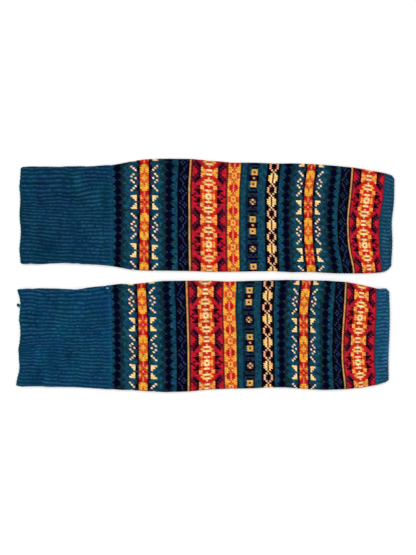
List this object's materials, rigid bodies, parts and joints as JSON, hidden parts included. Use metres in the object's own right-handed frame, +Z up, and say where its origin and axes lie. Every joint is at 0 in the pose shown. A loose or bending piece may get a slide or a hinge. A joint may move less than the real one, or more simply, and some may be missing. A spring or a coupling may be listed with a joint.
{
  "type": "pair of knitted leg warmers",
  "caption": "Pair of footless knitted leg warmers laid flat, open at both ends, with ribbed teal cuffs and a body of bands in traditional stranded colourwork.",
  "frame": {"origin": "on the floor, under the middle of the pair's box", "axes": "+X from the thigh hems towards the ankle hems, +Y from the near leg warmer towards the far one, +Z up from the floor"},
  "size_m": [0.567, 0.3504, 0.0064],
  "materials": {
    "teal_rib": "matt ribbed knit in heathered dark teal wool blend",
    "banded_knit": "matt stocking-stitch colourwork in teal, navy, cream, gold, orange and crimson wool blend",
    "teal_ankle_rib": "matt ribbed knit in heathered teal wool blend"
  },
  "bodies": {
    "root": {"far_thigh_cuff": "teal_rib", "far_patterned_body": "banded_knit", "far_ankle_cuff": "teal_ankle_rib", "near_thigh_cuff": "teal_rib", "near_patterned_body": "banded_knit", "near_ankle_cuff": "teal_ankle_rib"}
  },
  "joints": []
}
